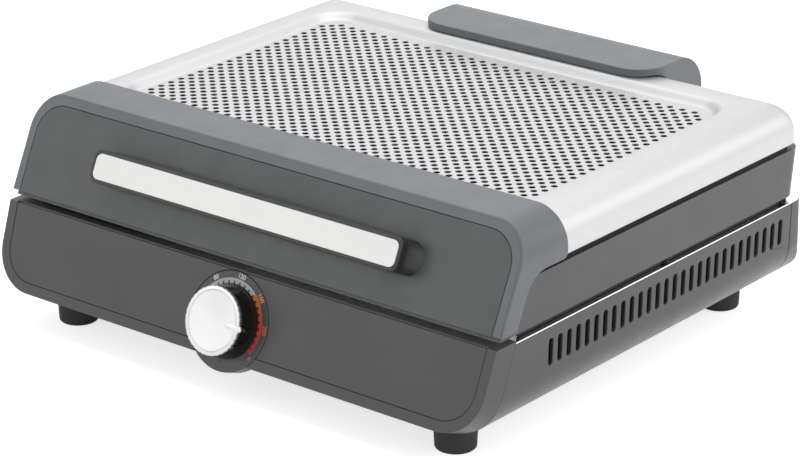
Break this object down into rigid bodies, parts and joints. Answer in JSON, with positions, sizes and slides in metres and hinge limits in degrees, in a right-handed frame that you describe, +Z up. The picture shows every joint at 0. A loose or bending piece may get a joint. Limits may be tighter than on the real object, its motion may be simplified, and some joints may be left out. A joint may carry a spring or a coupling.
{
  "type": "electric indoor grill with hinged lid",
  "caption": "Low rectangular electric grill on round feet with a hinged perforated steel lid, front handle, round temperature dial, lift-out grill plate and grease catch.",
  "frame": {"origin": "on the table under the middle of the whole appliance's box, with the lid closed", "axes": "+Z up, front with handle and dial towards -Y, +X to the right seen from the front"},
  "size_m": [0.3906, 0.3796, 0.145],
  "materials": {
    "base_plastic": "moulded grey, fine satin grain",
    "front_plastic": "moulded dark grey, satin",
    "dial_plastic": "moulded dark grey with printed scale",
    "foot_rubber": "matte black rubber",
    "screw_steel": "zinc-plated screws and pins",
    "polished_steel": "bright polished sheet",
    "sheet_aluminium": "plain mill finish",
    "element_steel": "oxidised heater sheath",
    "ceramic": "glazed ceramic or moulded resin",
    "bracket_steel": "plain stamped steel",
    "control_plastic": "heat-resistant moulding",
    "copper": "bare copper",
    "lead_sleeve": "woven glass sleeve over wire",
    "coated_plate": "cast plate with black non-stick coating",
    "knob_gloss": "gloss black moulding",
    "knob_metal": "spun aluminium cap",
    "lid_plastic": "moulded warm grey, satin",
    "seal_rubber": "black silicone",
    "brushed_cover": "satin stainless sheet",
    "handle_plastic": "dark grey heat-resistant moulding",
    "handle_metal": "satin anodised plate"
  },
  "bodies": {
    "base": {"base_shell": "base_plastic", "base_rear_cover": "base_plastic", "base_bezel": "front_plastic", "base_front_panel": "front_plastic", "dial_plate": "dial_plastic", "foot_front_left": "foot_rubber", "foot_front_right": "foot_rubber", "foot_rear_left": "foot_rubber", "foot_rear_right": "foot_rubber", "foot_screws": "screw_steel", "rear_cover_screws": "screw_steel", "cord_gland": "foot_rubber", "cooking_well": "polished_steel", "heat_shield": "sheet_aluminium", "heating_element": "element_steel", "element_bushings": "ceramic", "element_bracket_front": "bracket_steel", "element_bracket_rear": "bracket_steel", "thermostat_body": "control_plastic", "sensor_bulb": "copper", "capillary_tube": "copper", "terminal_block": "ceramic", "thermal_fuse": "sheet_aluminium", "internal_leads": "lead_sleeve", "hinge_lug_left": "front_plastic", "hinge_lug_right": "front_plastic"},
    "lid": {"lid_bezel": "lid_plastic", "lid_front_panel": "front_plastic", "lid_skirt": "base_plastic", "lid_seal": "seal_rubber", "lid_steel_cover": "brushed_cover", "lid_mesh": "brushed_cover", "lid_bumpers": "seal_rubber", "handle_bar": "handle_plastic", "handle_plate": "handle_metal", "handle_screws": "screw_steel", "hinge_cover": "lid_plastic", "hinge_arm_left": "bracket_steel", "hinge_arm_right": "bracket_steel", "hinge_arm_screws": "screw_steel", "hinge_pin_left": "screw_steel", "hinge_pin_right": "screw_steel"},
    "knob": {"control_shaft": "screw_steel", "knob_skirt": "knob_gloss", "knob_cap": "knob_metal"},
    "plate": {"grill_plate": "coated_plate"},
    "catch": {"grease_catch": "sheet_aluminium"}
  },
  "joints": [
    {"name": "lid_hinge", "type": "hinge", "parent": "base", "child": "lid", "pos_m": [0, 0.17708, 0.084], "axis": [-1, 0, 0], "range_deg": [0, 95]},
    {"name": "knob_turn", "type": "hinge", "parent": "base", "child": "knob", "pos_m": [0, -0.16834, 0.04728], "axis": [0, 0.9367, -0.3502], "range_deg": [-267, 40]},
    {"name": "plate_lift", "type": "slide", "parent": "base", "child": "plate", "axis": [0, 0, 1], "range_m": [0, 0.03]},
    {"name": "catch_lift", "type": "slide", "parent": "base", "child": "catch", "axis": [0, 0, 1], "range_m": [0, 0.012]}
  ]
}
